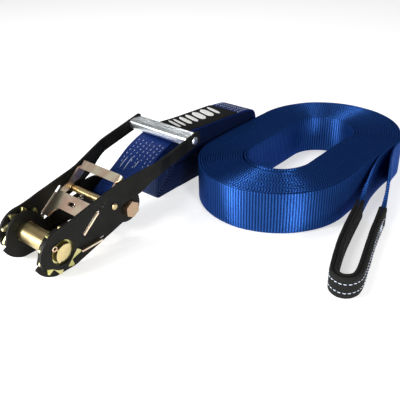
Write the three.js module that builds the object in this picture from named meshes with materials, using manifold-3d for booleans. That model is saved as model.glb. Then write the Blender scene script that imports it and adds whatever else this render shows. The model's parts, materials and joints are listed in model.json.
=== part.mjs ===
// Ratchet tie down: ratchet buckle with its short anchor strap, and the coiled long strap.
// Millimetres, +Z up. The working frame has its origin on the ground under the drum's axis,
// +X towards the handle's grip; the finished object is moved so that the middle of its
// footprint is the origin.
import * as THREE from 'three';
import { mergeVertices } from 'three/addons/utils/BufferGeometryUtils.js';
import Module from 'manifold-3d';

const wasm = await Module();
wasm.setup();

// ---------------------------------------------------------------- driving dimensions
const FOOTPRINT_CENTRE = { x: 224, y: -113 };
const GAP = 0.3;
const FULL_TURN = Math.PI * 2;

const WEBBING_WIDTH = 50;
const WEBBING = 2.4;

const AXIS_Z = 27.5;
const DRUM = { radius: 11, slot: 3.6, tiltDeg: 45, plainEnd: 33.4, pinnedEnd: 40 };
const BASE = { inner: 25.7, thickness: 3, discRadius: 22.5, flatFrom: -8, flatTo: 17, bore: 11.4 };
const LOBE = { x: 93, z: 34.5, radius: 18.5 };
const WHEEL = { inner: 29, outer: 32.6, tip: 26, root: 19.5, teeth: 10, firstRootDeg: -55 };
const HANDLE = {
  inner: 32.9, thickness: 3, flare: 12.7, flareFrom: 75, flareTo: 131,
  endX: 193, roundRadius: 26.3, bossRadius: 18.7, bore: 13.5,
};
const HANDLE_TOP = { x: 37.6, z: 61.3, slope: 0.209 };
const ARM_HEIGHT = 15;

const BOLT = { x: 95.2, z: 31.5, radius: 4.2, acrossFlats: 17, head: 6.3 };
const SLEEVE_RADIUS = 5.5;
const STAY = { x: 68, z: 24, radius: 3 };
const CROSS_BAR = { x: 69.1, z: 47.8, radius: 4 };
const GRIP = { x: 183.4, z: 84.9, width: 20, height: 12, grooves: 5, rodRadius: 3 };

const PAWL_PLATE = 2.2;
const PAWL_CLEAR = 0.35;
const DRIVE_PAWL = {
  tiltDeg: 38, offset: -12.4, front: 25, ear: 52, rear: 56, travel: 8, mouth: 38, mouthHalf: 20,
};
const PAWL_SLOT = { offset: -11.7, half: 2.6 };
const PULL_LOOP = { offset: -20.5, width: 10, strip: 2, centre: 30.1, end: 98, corner: 6 };
const LOCK_PAWL = { z: 13.7, front: 24.5, ear: 52, rear: 60, travel: 6.5, halfWidth: 32.5 };

const HANK = { x: 162, y: -2, width: 48.5, lean: -0.11 };
const RUN_THICKNESS = 2 * WEBBING + 0.4;

const COIL = { x: 325.3, y: -104.5, outer: 93, outerStraight: 58, inner: 37.5, innerStraight: 51 };
const COIL_HEIGHT = 49.5;
const EYE_HEIGHT = 24.5;
const SLEEVE_THICKNESS = 9;

const COLOURS = {
  paint: { color: '#2a2a27', roughness: 0.45, metalness: 0.4 },
  yellowZinc: { color: '#b9a66a', roughness: 0.38, metalness: 0.85 },
  paleGold: { color: '#e3d2a8', roughness: 0.32, metalness: 0.85 },
  copper: { color: '#c8947a', roughness: 0.3, metalness: 0.9 },
  olive: { color: '#a5a055', roughness: 0.4, metalness: 0.8 },
  silver: { color: '#d8dcdc', roughness: 0.35, metalness: 0.85 },
  spring: { color: '#9a9a94', roughness: 0.3, metalness: 0.9 },
  blueWebbing: { color: '#3c64b4', roughness: 0.8, metalness: 0 },
  blackWebbing: { color: '#1c1d20', roughness: 0.85, metalness: 0 },
};

// ---------------------------------------------------------------- helpers
function radians(degrees) {
  return THREE.MathUtils.degToRad(degrees);
}

function toSolid(geometry) {
  const bare = geometry.clone();
  bare.deleteAttribute('normal');
  bare.deleteAttribute('uv');
  const welded = mergeVertices(bare, 1e-4);
  return new wasm.Manifold(new wasm.Mesh({
    numProp: 3,
    vertProperties: new Float32Array(welded.attributes.position.array),
    triVerts: new Uint32Array(welded.index.array),
  }));
}

function toGeometry(solid) {
  const mesh = solid.getMesh();
  const geometry = new THREE.BufferGeometry();
  geometry.setAttribute('position', new THREE.BufferAttribute(mesh.vertProperties, 3));
  geometry.setIndex(new THREE.BufferAttribute(mesh.triVerts, 1));
  geometry.computeVertexNormals();
  return geometry;
}

function union(...geometries) {
  return toGeometry(geometries.map(toSolid).reduce((sum, next) => sum.add(next)));
}

function subtract(geometry, ...cutters) {
  return toGeometry(cutters.map(toSolid).reduce((rest, next) => rest.subtract(next), toSolid(geometry)));
}

function intersect(first, second) {
  return toGeometry(toSolid(first).intersect(toSolid(second)));
}

// An outline drawn in x and z, given thickness between two y values.
function sidePlate(shape, fromY, toY, curveSegments = 10) {
  const depth = toY - fromY;
  const geometry = new THREE.ExtrudeGeometry(shape, { depth, bevelEnabled: false, curveSegments });
  geometry.rotateX(Math.PI / 2);
  geometry.translate(0, toY, 0);
  return geometry;
}

// An outline drawn in x and y, given height between two z values.
function planPlate(shape, fromZ, toZ, curveSegments = 10) {
  const depth = toZ - fromZ;
  const geometry = new THREE.ExtrudeGeometry(shape, { depth, bevelEnabled: false, curveSegments });
  geometry.translate(0, 0, fromZ);
  return geometry;
}

// The same plate on the near (-1) or far (+1) side of the middle plane.
function sidePlateOn(side, shape, inner, outer, curveSegments) {
  return side > 0
    ? sidePlate(shape, inner, outer, curveSegments)
    : sidePlate(shape, -outer, -inner, curveSegments);
}

function polygon(points) {
  const shape = new THREE.Shape();
  points.forEach(([a, b], index) => (index ? shape.lineTo(a, b) : shape.moveTo(a, b)));
  shape.closePath();
  return shape;
}

function circle(path, x, z, radius) {
  path.absarc(x, z, radius, 0, FULL_TURN, false);
  return path;
}

// A slot with round ends between two points.
function slotPath(path, x0, z0, x1, z1, halfWidth) {
  const heading = Math.atan2(z1 - z0, x1 - x0);
  const quarter = Math.PI / 2;
  path.absarc(x1, z1, halfWidth, heading - quarter, heading + quarter, false);
  path.absarc(x0, z0, halfWidth, heading + quarter, heading + 3 * quarter, false);
  path.closePath();
  return path;
}

// A band of changing thickness along a smooth line through the given points.
function bandShape(points, halfThicknessAt, steps) {
  const line = new THREE.SplineCurve(points.map(([x, y]) => new THREE.Vector2(x, y)));
  const left = [];
  const right = [];
  for (let i = 0; i <= steps; i += 1) {
    const t = i / steps;
    const at = line.getPointAt(t);
    const along = line.getTangentAt(t);
    const half = halfThicknessAt(t);
    left.push([at.x - along.y * half, at.y + along.x * half]);
    right.unshift([at.x + along.y * half, at.y - along.x * half]);
  }
  return polygon([...left, ...right]);
}

function turnedAboutY(profile, x, z, segments = 20) {
  const geometry = new THREE.LatheGeometry(profile.map(([r, y]) => new THREE.Vector2(r, y)), segments);
  geometry.translate(x, 0, z);
  return geometry;
}

// A cross rod held by two side plates: full size between them, necks through them, round heads outside.
function rivetedRod({ x, z, radius }, inner, outer, neck, head, headHeight) {
  const tip = outer + GAP + headHeight;
  const profile = [
    [0, -tip], [head * 0.7, -tip], [head, -tip + headHeight * 0.5], [head, -outer - GAP],
    [neck, -outer - GAP], [neck, -inner + GAP], [radius, -inner + GAP],
    [radius, inner - GAP], [neck, inner - GAP], [neck, outer + GAP],
    [head, outer + GAP], [head, tip - headHeight * 0.5], [head * 0.7, tip], [0, tip],
  ];
  return turnedAboutY(profile, x, z);
}

class WireLine extends THREE.Curve {
  constructor(pointAt) {
    super();
    this.pointAt = pointAt;
  }

  getPoint(t, target = new THREE.Vector3()) {
    return target.copy(this.pointAt(t));
  }
}

function wire(pointAt, radius, steps, sides = 6) {
  const section = circle(new THREE.Shape(), 0, 0, radius);
  const extrudePath = new WireLine(pointAt);
  return new THREE.ExtrudeGeometry(section, { steps, extrudePath, curveSegments: sides });
}

// A torsion spring wound on a rod, with one straight leg running off to a given point.
function torsionSpring({ x, z, radius }, wireRadius, turns, fromY, startDeg, legEnd) {
  const coilRadius = radius + GAP + wireRadius;
  const pitch = 2 * wireRadius + 0.25;
  const start = radians(startDeg);
  const legShare = 0.2;
  const legStart = new THREE.Vector3(
    x + coilRadius * Math.cos(start), fromY, z + coilRadius * Math.sin(start));
  const pointAt = (t) => {
    if (t < legShare) {
      return legEnd.clone().lerp(legStart, t / legShare);
    }
    const wound = (t - legShare) / (1 - legShare) * turns;
    const angle = start + wound * FULL_TURN;
    return new THREE.Vector3(
      x + coilRadius * Math.cos(angle), fromY + wound * pitch, z + coilRadius * Math.sin(angle));
  };
  return wire(pointAt, wireRadius, 14 * turns + 6);
}

// ---------------------------------------------------------------- ratchet base
function basePlateOutline() {
  const shape = new THREE.Shape();
  const lobeStart = Math.atan2(18 - LOBE.z, 84.6 - LOBE.x);
  shape.moveTo(BASE.flatFrom, 0);
  shape.lineTo(BASE.flatTo, 0);
  shape.quadraticCurveTo(24, 1.6, 30, 3.4);
  shape.lineTo(84.6, 18);
  shape.absarc(LOBE.x, LOBE.z, LOBE.radius, lobeStart, Math.PI / 2, false);
  shape.lineTo(80, 52.4);
  shape.quadraticCurveTo(76.5, 52, 75.6, 49);
  shape.lineTo(74.9, 42.5);
  shape.quadraticCurveTo(74.5, 41.2, 72, 41);
  shape.lineTo(62, 40);
  const discFrom = radians(4);
  shape.lineTo(BASE.discRadius * Math.cos(discFrom), AXIS_Z + BASE.discRadius * Math.sin(discFrom));
  shape.absarc(0, AXIS_Z, BASE.discRadius, discFrom, radians(172), false);
  shape.lineTo(-25.3, 23.6);
  shape.lineTo(-25.3, 22.1);
  shape.lineTo(-23.4, 20.4);
  shape.lineTo(-27.3, 18.4);
  shape.quadraticCurveTo(-28.6, 17.4, -28, 16.2);
  shape.lineTo(-25.2, 11.3);
  shape.quadraticCurveTo(-19, 3.4, BASE.flatFrom, 0);
  return shape;
}

function basePlate(side) {
  const shape = basePlateOutline();
  const slotHalf = PAWL_PLATE / 2 + PAWL_CLEAR;
  const slotRear = LOCK_PAWL.ear + LOCK_PAWL.travel + PAWL_CLEAR;
  shape.holes.push(circle(new THREE.Path(), 0, AXIS_Z, BASE.bore));
  shape.holes.push(circle(new THREE.Path(), BOLT.x, BOLT.z, BOLT.radius + GAP));
  shape.holes.push(polygon([
    [LOCK_PAWL.front - PAWL_CLEAR, LOCK_PAWL.z - slotHalf], [slotRear, LOCK_PAWL.z - slotHalf],
    [slotRear, LOCK_PAWL.z + slotHalf], [LOCK_PAWL.front - PAWL_CLEAR, LOCK_PAWL.z + slotHalf],
  ]));
  return sidePlateOn(side, shape, BASE.inner, BASE.inner + BASE.thickness, 12);
}

function hexagon(x, z, acrossFlats) {
  const corner = acrossFlats / Math.sqrt(3);
  const corners = [0, 1, 2, 3, 4, 5].map((i) => {
    const angle = radians(30 + 60 * i);
    return [x + corner * Math.cos(angle), z + corner * Math.sin(angle)];
  });
  return polygon(corners);
}

function anchorBolt() {
  const headInner = BASE.inner + BASE.thickness + GAP;
  const tail = headInner + BOLT.head + 2.6;
  const head = sidePlate(hexagon(BOLT.x, BOLT.z, BOLT.acrossFlats), -headInner - BOLT.head, -headInner);
  const profile = [
    [0, -headInner - 1], [BOLT.radius, -headInner - 1], [BOLT.radius, tail - 1],
    [BOLT.radius - 1, tail], [0, tail],
  ];
  return union(head, turnedAboutY(profile, BOLT.x, BOLT.z));
}

function anchorNut() {
  const inner = BASE.inner + BASE.thickness + GAP;
  const shape = hexagon(BOLT.x, BOLT.z, BOLT.acrossFlats);
  shape.holes.push(circle(new THREE.Path(), BOLT.x, BOLT.z, BOLT.radius + GAP));
  return sidePlate(shape, inner, inner + BOLT.head);
}

function anchorSleeve() {
  const shape = circle(new THREE.Shape(), BOLT.x, BOLT.z, SLEEVE_RADIUS);
  shape.holes.push(circle(new THREE.Path(), BOLT.x, BOLT.z, BOLT.radius + GAP));
  return sidePlate(shape, -BASE.inner + GAP, BASE.inner - GAP);
}

function baseStay() {
  const end = BASE.inner - GAP;
  return turnedAboutY([[0, -end], [STAY.radius, -end], [STAY.radius, end], [0, end]], STAY.x, STAY.z);
}

function lockPawl() {
  const wing = LOCK_PAWL.halfWidth;
  const body = BASE.inner - 2 * GAP;
  const shape = polygon([
    [LOCK_PAWL.front, -wing], [LOCK_PAWL.ear, -wing], [LOCK_PAWL.ear, -body], [LOCK_PAWL.rear, -body],
    [LOCK_PAWL.rear, body], [LOCK_PAWL.ear, body], [LOCK_PAWL.ear, wing], [LOCK_PAWL.front, wing],
  ]);
  return planPlate(shape, LOCK_PAWL.z - PAWL_PLATE / 2, LOCK_PAWL.z + PAWL_PLATE / 2);
}

function lockPawlSpring() {
  const wireRadius = 0.7;
  const restZ = LOCK_PAWL.z + PAWL_PLATE / 2 + wireRadius + GAP;
  const legEnd = new THREE.Vector3(LOCK_PAWL.rear - 10, -7, restZ);
  return torsionSpring(STAY, wireRadius, 5, -4, 270, legEnd);
}

// ---------------------------------------------------------------- drum
// Each half stands out of the handle and is pinned at one end; its other end stops in the bore.
function spoolHalf(turn, pinSide) {
  const edge = Math.asin(DRUM.slot / 2 / DRUM.radius);
  const from = radians(DRUM.tiltDeg) + turn;
  const shape = new THREE.Shape();
  shape.absarc(0, AXIS_Z, DRUM.radius, from + edge, from + Math.PI - edge, false);
  shape.closePath();
  const near = pinSide < 0 ? DRUM.pinnedEnd : DRUM.plainEnd;
  const far = pinSide < 0 ? DRUM.plainEnd : DRUM.pinnedEnd;
  return subtract(sidePlate(shape, -near, far, 14), cotterShank(turn, pinSide, COTTER.radius + GAP));
}

function ratchetWheel(side) {
  const pitch = FULL_TURN / WHEEL.teeth;
  const points = [];
  for (let i = 0; i < WHEEL.teeth; i += 1) {
    for (const [share, radius] of [[0, WHEEL.root], [0.72, WHEEL.tip], [0.85, WHEEL.tip]]) {
      const angle = radians(WHEEL.firstRootDeg) + (i + share) * pitch;
      points.push([radius * Math.cos(angle), AXIS_Z + radius * Math.sin(angle)]);
    }
  }
  const shape = polygon(points);
  shape.holes.push(circle(new THREE.Path(), 0, AXIS_Z, DRUM.radius + GAP));
  return sidePlateOn(side, shape, WHEEL.inner, WHEEL.outer, 12);
}

const COTTER = { y: 37.8, radius: 1.1, head: 2.4 };

// The straight part of a cotter pin, standing square to the drum's slot.
function cotterShank(turn, side, radius) {
  const from = 0.4;
  const to = DRUM.radius + COTTER.head;
  const shank = new THREE.CylinderGeometry(radius, radius, to - from, 10);
  shank.translate(0, (from + to) / 2, 0);
  shank.rotateX(Math.PI / 2);
  shank.rotateY(-radians(DRUM.tiltDeg) - turn);
  shank.translate(0, side * COTTER.y, AXIS_Z);
  return shank;
}

function cotterPin(turn, side) {
  const reach = DRUM.radius + GAP + COTTER.head + COTTER.radius * 0.6;
  const ring = new THREE.TorusGeometry(COTTER.head, COTTER.radius * 0.6, 6, 14);
  ring.rotateX(Math.PI / 2);
  ring.translate(0, 0, reach);
  ring.rotateY(-radians(DRUM.tiltDeg) - turn);
  ring.translate(0, side * COTTER.y, AXIS_Z);
  return union(cotterShank(turn, side, COTTER.radius), ring);
}

// ---------------------------------------------------------------- handle
function handleTop(x) {
  return HANDLE_TOP.z + HANDLE_TOP.slope * (x - HANDLE_TOP.x);
}

function handleOutline() {
  const shape = new THREE.Shape();
  const bossFrom = radians(-81);
  const bossTo = radians(-138);
  const roundFrom = radians(196);
  const roundTo = radians(90);
  shape.moveTo(HANDLE.endX, handleTop(HANDLE.endX) - 4);
  shape.lineTo(HANDLE.endX, handleTop(HANDLE.endX) - ARM_HEIGHT + 3);
  shape.quadraticCurveTo(
    HANDLE.endX, handleTop(HANDLE.endX) - ARM_HEIGHT, HANDLE.endX - 3, handleTop(HANDLE.endX - 3) - ARM_HEIGHT);
  shape.lineTo(131, handleTop(131) - ARM_HEIGHT);
  shape.quadraticCurveTo(116, 61, 107, 54.1);
  shape.quadraticCurveTo(103, 51.6, 98.5, 50.3);
  shape.lineTo(21, 28.2);
  shape.quadraticCurveTo(12, 18.5, HANDLE.bossRadius * Math.cos(bossFrom), AXIS_Z + HANDLE.bossRadius * Math.sin(bossFrom));
  shape.absarc(0, AXIS_Z, HANDLE.bossRadius, bossFrom, bossTo, true);
  shape.lineTo(HANDLE.roundRadius * Math.cos(roundFrom), AXIS_Z + HANDLE.roundRadius * Math.sin(roundFrom));
  shape.absarc(0, AXIS_Z, HANDLE.roundRadius, roundFrom, roundTo, true);
  shape.quadraticCurveTo(10, handleTop(0) + 1, 25, handleTop(25));
  shape.lineTo(HANDLE.endX - 4, handleTop(HANDLE.endX - 4));
  shape.quadraticCurveTo(HANDLE.endX, handleTop(HANDLE.endX), HANDLE.endX, handleTop(HANDLE.endX) - 4);
  return shape;
}

// A point of the drive pawl's plane in x and z: so far along it, so far above the drum's axis.
function onPawlPlane(along, above) {
  const tilt = radians(DRIVE_PAWL.tiltDeg);
  return [
    along * Math.cos(tilt) - above * Math.sin(tilt),
    AXIS_Z + along * Math.sin(tilt) + above * Math.cos(tilt),
  ];
}

function handlePlate(side) {
  const outline = handleOutline();
  const half = PAWL_SLOT.half;
  const slotFrom = onPawlPlane(DRIVE_PAWL.front + half - 1.2, PAWL_SLOT.offset);
  const slotTo = onPawlPlane(DRIVE_PAWL.ear + DRIVE_PAWL.travel + 1.2 - half, PAWL_SLOT.offset);
  const neck = { cross: 2.6, grip: 2.2 };
  outline.holes.push(circle(new THREE.Path(), 0, AXIS_Z, HANDLE.bore));
  outline.holes.push(slotPath(new THREE.Path(), ...slotFrom, ...slotTo, half));
  outline.holes.push(circle(new THREE.Path(), CROSS_BAR.x, CROSS_BAR.z, neck.cross + GAP));
  outline.holes.push(circle(new THREE.Path(), GRIP.x, GRIP.z, neck.grip + GAP));
  const widest = HANDLE.inner + HANDLE.flare + HANDLE.thickness;
  const sheet = sidePlateOn(side, outline, HANDLE.inner - 1, widest + 1, 12);
  const inner = HANDLE.inner * side;
  const outer = (HANDLE.inner + HANDLE.thickness) * side;
  const shift = HANDLE.flare * side;
  const bend = new THREE.Shape();
  bend.moveTo(-60, inner);
  bend.lineTo(HANDLE.flareFrom - 6, inner);
  bend.quadraticCurveTo(HANDLE.flareFrom, inner, HANDLE.flareFrom + 6, inner + shift * 0.08);
  bend.lineTo(HANDLE.flareTo - 6, inner + shift * 0.92);
  bend.quadraticCurveTo(HANDLE.flareTo, inner + shift, HANDLE.flareTo + 6, inner + shift);
  bend.lineTo(HANDLE.endX + 10, inner + shift);
  bend.lineTo(HANDLE.endX + 10, outer + shift);
  bend.lineTo(HANDLE.flareTo + 6, outer + shift);
  bend.quadraticCurveTo(HANDLE.flareTo, outer + shift, HANDLE.flareTo - 6, outer + shift * 0.92);
  bend.lineTo(HANDLE.flareFrom + 6, outer + shift * 0.08);
  bend.quadraticCurveTo(HANDLE.flareFrom, outer, HANDLE.flareFrom - 6, outer);
  bend.lineTo(-60, outer);
  bend.closePath();
  return intersect(sheet, planPlate(bend, -10, 110, 4));
}

function crossBar() {
  return rivetedRod(CROSS_BAR, HANDLE.inner, HANDLE.inner + HANDLE.thickness, 2.6, 3.75, 1.8);
}

function gripRod() {
  const inner = HANDLE.inner + HANDLE.flare;
  const rod = { x: GRIP.x, z: GRIP.z, radius: GRIP.rodRadius };
  return rivetedRod(rod, inner, inner + HANDLE.thickness, 2.2, 4.5, 2);
}

// The grip: a rounded bar lying along y with lengthwise grooves in its top.
function gripBar() {
  const half = GRIP.width / 2;
  const low = GRIP.z - GRIP.height / 2;
  const high = GRIP.z + GRIP.height / 2;
  const corner = 4;
  const groove = 1.3;
  const flat = GRIP.width - 2 * corner;
  const step = flat / GRIP.grooves;
  const shape = new THREE.Shape();
  shape.moveTo(GRIP.x - half + corner, low);
  shape.lineTo(GRIP.x + half - corner, low);
  shape.absarc(GRIP.x + half - corner, low + corner, corner, -Math.PI / 2, 0, false);
  shape.absarc(GRIP.x + half - corner, high - corner, corner, 0, Math.PI / 2, false);
  for (let i = 0; i < GRIP.grooves; i += 1) {
    const x = GRIP.x + half - corner - i * step;
    shape.lineTo(x - step * 0.3, high);
    shape.quadraticCurveTo(x - step * 0.5, high - 2 * groove, x - step * 0.7, high);
  }
  shape.absarc(GRIP.x - half + corner, high - corner, corner, Math.PI / 2, Math.PI, false);
  shape.absarc(GRIP.x - half + corner, low + corner, corner, Math.PI, 1.5 * Math.PI, false);
  shape.holes.push(circle(new THREE.Path(), GRIP.x, GRIP.z, GRIP.rodRadius + GAP));
  const end = HANDLE.inner + HANDLE.flare - GAP;
  return sidePlate(shape, -end, end, 4);
}

// The drive pawl is drawn with its plane level and then tipped to the slot's slope.
function drivePawl() {
  const earEnd = HANDLE.inner + HANDLE.thickness - 0.4;
  const side = PULL_LOOP.centre + PULL_LOOP.strip / 2;
  const { front, ear, rear, offset, mouth, mouthHalf } = DRIVE_PAWL;
  const plan = new THREE.Shape();
  plan.moveTo(front, -earEnd);
  plan.lineTo(ear, -earEnd);
  plan.lineTo(ear, -side);
  plan.lineTo(rear, -side);
  plan.lineTo(rear, side);
  plan.lineTo(ear, side);
  plan.lineTo(ear, earEnd);
  plan.lineTo(front, earEnd);
  plan.lineTo(front, mouthHalf + 4);
  plan.quadraticCurveTo(mouth - 2, mouthHalf + 3, mouth, mouthHalf - 4);
  plan.lineTo(mouth, -mouthHalf + 4);
  plan.quadraticCurveTo(mouth - 2, -mouthHalf - 3, front, -mouthHalf - 4);
  plan.closePath();
  const hole = new THREE.Path();
  plan.holes.push(slotPath(hole, PAWL_HOLE.along, PAWL_HOLE.from, PAWL_HOLE.along, PAWL_HOLE.to, PAWL_HOLE.half));
  const plate = planPlate(plan, offset - PAWL_PLATE / 2, offset + PAWL_PLATE / 2, 6);

  const top = PULL_LOOP.offset + PULL_LOOP.width / 2;
  const bottom = PULL_LOOP.offset - PULL_LOOP.width / 2;
  const leg = new THREE.Shape();
  leg.moveTo(front + 18, offset + PAWL_PLATE / 2);
  leg.lineTo(rear, offset + PAWL_PLATE / 2);
  leg.quadraticCurveTo(rear + 4, offset + PAWL_PLATE / 2, rear + 12, top);
  leg.lineTo(PULL_LOOP.end - PULL_LOOP.width, top);
  leg.lineTo(PULL_LOOP.end - 2, top - PULL_LOOP.corner);
  leg.quadraticCurveTo(PULL_LOOP.end - 4, bottom + 1, PULL_LOOP.end - PULL_LOOP.width, bottom);
  leg.lineTo(rear + 22, bottom);
  leg.quadraticCurveTo(rear + 19, bottom + 3.7, rear + 8, bottom + 3.9);
  leg.quadraticCurveTo(rear + 2, bottom + 4.5, rear - 4, offset - PAWL_PLATE / 2);
  leg.lineTo(front + 18, offset - PAWL_PLATE / 2);
  leg.closePath();
  const legs = [-1, 1].map((hand) => sidePlateOn(hand, leg, side - PULL_LOOP.strip, side, 6));

  // the bar across the legs' ends: a flat strip folded down into each leg, drawn in y and height
  const fold = PULL_LOOP.corner;
  const inside = fold - PULL_LOOP.strip;
  const section = new THREE.Shape();
  section.moveTo(side, top - fold - 1);
  section.absarc(side - fold, top - fold, fold, 0, Math.PI / 2, false);
  section.absarc(-side + fold, top - fold, fold, Math.PI / 2, Math.PI, false);
  section.lineTo(-side, top - fold - 1);
  section.lineTo(-side + PULL_LOOP.strip, top - fold - 1);
  section.absarc(-side + fold, top - fold, inside, Math.PI, Math.PI / 2, true);
  section.absarc(side - fold, top - fold, inside, Math.PI / 2, 0, true);
  section.lineTo(side - PULL_LOOP.strip, top - fold - 1);
  section.closePath();
  const bar = new THREE.ExtrudeGeometry(section, { depth: PULL_LOOP.width, bevelEnabled: false, curveSegments: 6 });
  bar.applyMatrix4(new THREE.Matrix4().makeBasis(
    new THREE.Vector3(0, 1, 0), new THREE.Vector3(0, 0, 1), new THREE.Vector3(1, 0, 0)));
  bar.translate(PULL_LOOP.end - PULL_LOOP.width, 0, 0);

  const pawl = union(plate, ...legs, bar);
  pawl.rotateY(-radians(DRIVE_PAWL.tiltDeg));
  pawl.translate(0, 0, AXIS_Z);
  return pawl;
}

// A hole in the middle of the pawl's plate, over its return spring.
const PAWL_HOLE = { along: 47, from: -1, to: 6, half: 2.3 };
const PAWL_SPRING = { from: 41, to: 60, y: 2.5, radius: 2.4, wire: 0.6, turns: 7 };

// The return spring lies under the plate along its slide and is hooked to the cross bar.
function drivePawlSpring() {
  const { from, to, y, radius, wire: wireRadius, turns } = PAWL_SPRING;
  const level = DRIVE_PAWL.offset - PAWL_PLATE / 2 - GAP - wireRadius - radius;
  const coilShare = 0.86;
  const pointAt = (t) => {
    const wound = Math.min(t / coilShare, 1);
    const hook = Math.max(0, (t - coilShare) / (1 - coilShare));
    const angle = wound * turns * FULL_TURN;
    const along = from + (to - from) * wound + 4 * hook;
    const above = level + radius * Math.cos(angle) - 5.6 * hook;
    const [x, z] = onPawlPlane(along, above);
    return new THREE.Vector3(x, y + radius * Math.sin(angle), z);
  };
  return wire(pointAt, wireRadius, 14 * turns + 4);
}

// ---------------------------------------------------------------- short strap
const RUN_TOP = [[108, 48], [133, 60], [150, 68], [171, 75.2], [183, 78.3], [196, 78], [214, 75.6]];
const RUN_SHIFT = [{ from: 108, to: 172, by: 5.5 }, { from: 180, to: 226, by: 10 }];

// How far the strap's middle has moved sideways at a given x.
function runShift(x) {
  return RUN_SHIFT.reduce(
    (sum, part) => sum + part.by * THREE.MathUtils.smoothstep(x, part.from, part.to), 0);
}

function anchorStrapRun() {
  const eyeRadius = SLEEVE_RADIUS + GAP;
  const outer = eyeRadius + WEBBING;
  const upper = radians(119);
  const lower = radians(-35);
  const line = new THREE.SplineCurve(RUN_TOP.map(([x, z]) => new THREE.Vector2(x, z)));
  const topPoints = [];
  const underPoints = [];
  const steps = 14;
  for (let i = 0; i <= steps; i += 1) {
    const at = line.getPointAt(i / steps);
    const along = line.getTangentAt(i / steps);
    topPoints.push([at.x, at.y]);
    underPoints.unshift([at.x + along.y * RUN_THICKNESS, at.y - along.x * RUN_THICKNESS]);
  }
  const shape = new THREE.Shape();
  const start = [BOLT.x + outer * Math.cos(upper), BOLT.z + outer * Math.sin(upper)];
  shape.moveTo(...start);
  for (const point of [...topPoints, ...underPoints]) {
    shape.lineTo(...point);
  }
  shape.lineTo(BOLT.x + outer * Math.cos(lower), BOLT.z + outer * Math.sin(lower));
  shape.absarc(BOLT.x, BOLT.z, outer, lower, upper - FULL_TURN, true);
  shape.closePath();
  shape.holes.push(circle(new THREE.Path(), BOLT.x, BOLT.z, eyeRadius));
  const wide = WEBBING_WIDTH * 1.5;
  return intersect(sidePlate(shape, -wide, wide, 12), planPlate(runPlan(), -10, 110));
}

// The strap's run seen from above: full width all the way, moving over to the hank's line.
function runPlan() {
  const edges = [-1, 1].map((side) => {
    const points = [];
    for (let x = RUN_SHIFT[0].from; x < 224; x += 8) {
      points.push([x, runShift(x) + side * WEBBING_WIDTH / 2]);
    }
    return [[80, side * WEBBING_WIDTH / 2], ...points];
  });
  return polygon([...edges[0], ...edges[1].reverse()]);
}

// The bundle leans over sideways as it rises.
function placeOnHank(geometry) {
  geometry.applyMatrix4(new THREE.Matrix4().makeShear(0, 0, 0, 0, 0, HANK.lean));
  geometry.translate(0, HANK.y, 0);
  return geometry;
}

const HANK_TOP = { from: [217, 74], to: [318, 67.2] };

// The folded-up rest of the short strap, as one solid of its outer size.
function anchorStrapHank() {
  const shape = new THREE.Shape();
  shape.moveTo(174, 0);
  shape.lineTo(350, 0);
  shape.quadraticCurveTo(361, 1, 361, 22);
  shape.quadraticCurveTo(361, 60, 350, 63.6);
  shape.quadraticCurveTo(336, 66, ...HANK_TOP.to);
  shape.lineTo(...HANK_TOP.from);
  shape.lineTo(216, 68.2);
  shape.lineTo(199, 70.8);
  shape.lineTo(186, 71.4);
  shape.lineTo(178, 69.4);
  shape.quadraticCurveTo(HANK.x, 64, HANK.x, 52);
  shape.lineTo(HANK.x, 10);
  shape.quadraticCurveTo(HANK.x, 1, 174, 0);
  return placeOnHank(sidePlate(shape, 0, HANK.width, 8));
}

function strapLabel() {
  const [x0, z0] = HANK_TOP.from;
  const [x1, z1] = HANK_TOP.to;
  const inset = 1;
  const slope = (z1 - z0) / (x1 - x0);
  const thickness = 0.8;
  const low = (x) => z0 + slope * (x - x0) + GAP;
  const shape = polygon([
    [x0 + 1, low(x0 + 1)], [x1 - 1, low(x1 - 1)],
    [x1 - 1, low(x1 - 1) + thickness], [x0 + 1, low(x0 + 1) + thickness],
  ]);
  return placeOnHank(sidePlate(shape, inset, HANK.width - inset));
}

// ---------------------------------------------------------------- long strap
function racetrack(path, straight, radius) {
  return slotPath(path, COIL.x - straight, COIL.y, COIL.x + straight, COIL.y, radius);
}

function longStrapCoil() {
  const shape = racetrack(new THREE.Shape(), COIL.outerStraight, COIL.outer);
  shape.holes.push(racetrack(new THREE.Path(), COIL.innerStraight, COIL.inner));
  return planPlate(shape, 0, COIL_HEIGHT, 20);
}

const SLEEVE_ENDS = { inner: [275, -212.4], outer: [275, -239.2] };

function eyeSleeve() {
  const line = [
    SLEEVE_ENDS.inner, [223, -225], [188, -235], [158, -246], [143, -252.5],
    [138.6, -262.5], [145, -271], [158, -271.6], [192, -262], [229, -251], SLEEVE_ENDS.outer,
  ];
  return planPlate(bandShape(line, () => SLEEVE_THICKNESS / 2, 44), 0, EYE_HEIGHT);
}

// A point outside the coil's round end, at a turn from straight towards -y.
function besideCoil(offset, turnDeg) {
  const radius = COIL.outer + offset;
  const angle = radians(-90 + turnDeg);
  return [
    COIL.x + COIL.outerStraight + radius * Math.cos(angle),
    COIL.y + radius * Math.sin(angle),
  ];
}

// One leg of the eye: folded to half width at the sleeve, opening to full width beside the coil.
function eyeLeg(line) {
  const atSleeve = 2.6;
  const atCoil = WEBBING / 2;
  const half = (t) => THREE.MathUtils.lerp(atSleeve, atCoil, THREE.MathUtils.smoothstep(t, 0, 0.5));
  const leg = planPlate(bandShape(line, half, 18), 0, 1);
  const position = leg.attributes.position;
  const from = SLEEVE_ENDS.inner[0];
  for (let i = 0; i < position.count; i += 1) {
    const open = THREE.MathUtils.smoothstep(position.getX(i), from, from + 75);
    const height = THREE.MathUtils.lerp(EYE_HEIGHT, COIL_HEIGHT, open);
    position.setZ(i, position.getZ(i) * height);
  }
  leg.computeVertexNormals();
  return leg;
}

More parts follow.
